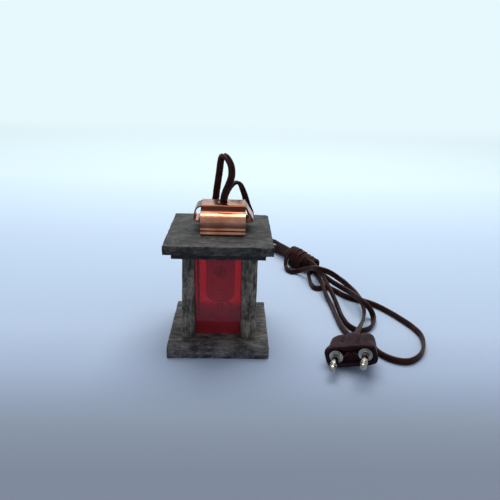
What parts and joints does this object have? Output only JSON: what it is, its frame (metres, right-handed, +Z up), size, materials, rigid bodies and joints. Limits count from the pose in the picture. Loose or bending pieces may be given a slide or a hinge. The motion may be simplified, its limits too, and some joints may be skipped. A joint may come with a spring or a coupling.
{
  "type": "miniature lantern",
  "caption": "Miniature square lantern: dark wood frame, red panes, lift-off roof with screw bulb, folded copper cap and a tied-up twin flex ending in a small two-pin plug.",
  "frame": {"origin": "middle of the base plate's underside, on the surface the lantern stands on", "axes": "+Z up, +X to the lantern's right seen from the front, -Y out of the front pane towards the viewer"},
  "size_m": [0.1057, 0.1474, 0.0749],
  "materials": {
    "stained_wood": "charcoal stain over sawn grain, matt",
    "red_pane": "clear red sheet, glossy",
    "copper_sheet": "rolled copper sheet, semi-bright",
    "flex_sheath": "dark brown vinyl flex, slight sheen",
    "plug_plastic": "dark brown moulded plastic, satin",
    "nickel_plate": "nickel plate, bright",
    "brass": "plain brass, satin",
    "lampholder_plastic": "ivory moulded plastic, gloss",
    "dark_insulator": "dark insulating resin",
    "clear_glass": "clear blown glass",
    "wire_sheath": "red-brown thin wire insulation",
    "lamp_metal": "tinned metal, satin"
  },
  "bodies": {
    "lantern": {"base_plate": "stained_wood", "post_front_left": "stained_wood", "post_front_right": "stained_wood", "post_back_left": "stained_wood", "post_back_right": "stained_wood", "pane_front": "red_pane", "pane_back": "red_pane", "pane_left": "red_pane", "pane_right": "red_pane", "top_plate": "stained_wood", "cord_drop": "flex_sheath", "cord_far_loop": "flex_sheath", "cord_bight": "flex_sheath", "cord_near_loop": "flex_sheath", "cord_wrap": "flex_sheath", "cord_plug_lead": "flex_sheath", "plug_housing": "plug_plastic", "plug_pin_left": "nickel_plate", "plug_pin_right": "nickel_plate", "plug_wires": "wire_sheath"},
    "roof": {"roof_plate": "stained_wood", "copper_cap": "copper_sheet", "cable_tail": "flex_sheath", "lamp_wires": "wire_sheath", "lampholder_body": "lampholder_plastic", "lampholder_shell": "brass", "terminal_disc": "dark_insulator", "cord_top": "flex_sheath"},
    "contact": {"centre_contact": "brass"},
    "bulb": {"bulb_shell": "lamp_metal", "bulb_glass": "clear_glass", "bulb_insulator": "dark_insulator", "bulb_tip": "lamp_metal", "bulb_bead": "clear_glass", "bulb_filament": "lamp_metal"}
  },
  "joints": [
    {"name": "roof_lift", "type": "slide", "parent": "lantern", "child": "roof", "axis": [0, 0, 1], "range_m": [0, 0.036]},
    {"name": "contact_travel", "type": "slide", "parent": "roof", "child": "contact", "axis": [0, 0, -1], "range_m": [0, 0.00075]},
    {"name": "bulb_turn", "type": "hinge", "parent": "contact", "child": "bulb", "pos_m": [0.0002, 0.00135, 0.02], "axis": [0, 0, -1], "range_deg": [0, 271]}
  ],
  "couplings": [
    {"joint": "bulb_turn", "follows": "contact_travel", "rad_per_m": 6283.2}
  ]
}
